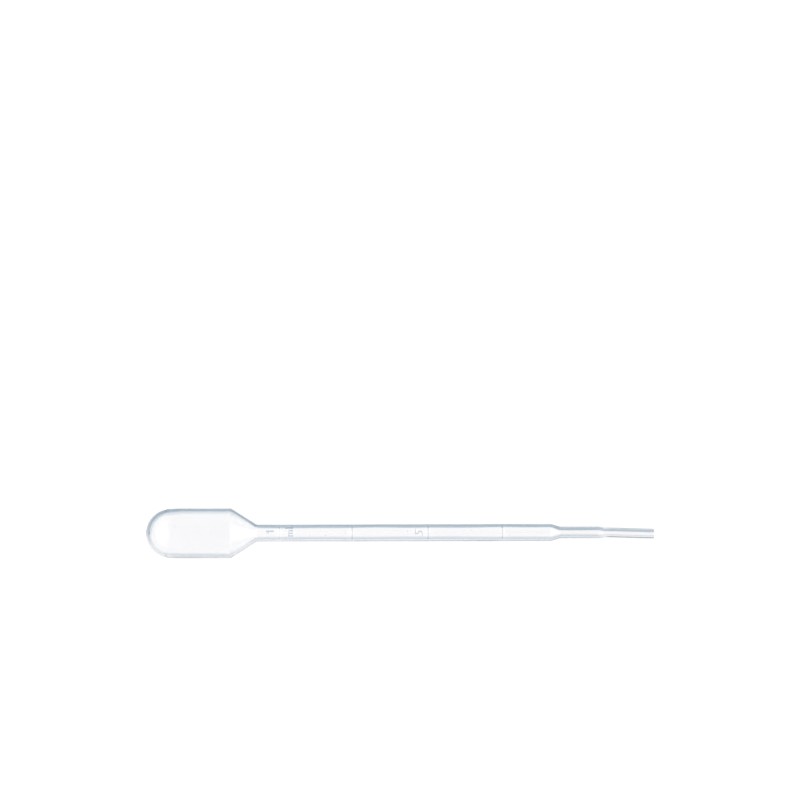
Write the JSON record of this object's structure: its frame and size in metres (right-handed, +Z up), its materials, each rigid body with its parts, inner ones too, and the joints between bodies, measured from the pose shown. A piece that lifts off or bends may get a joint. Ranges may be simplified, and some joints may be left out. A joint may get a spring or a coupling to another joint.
{
  "type": "transfer pipette",
  "caption": "Small-bulb plastic dropper pipette moulded in one piece, with a hollow squeeze bulb, a graduated stem and a narrow open tip, lying at rest.",
  "frame": {"origin": "centre of the bounding box in X and Y, on the surface the pipette lies on", "axes": "+X from the closed end of the bulb towards the open tip, +Z up from the surface it lies on, with the raised marks facing up; the stem slopes down towards the tip by 2.7 degrees"},
  "size_m": [0.15, 0.0146, 0.0152],
  "materials": {
    "pipette_wall": "clear to slightly milky low-density polyethylene, smooth as moulded"
  },
  "bodies": {
    "root": {"pipette": "pipette_wall"}
  },
  "joints": []
}
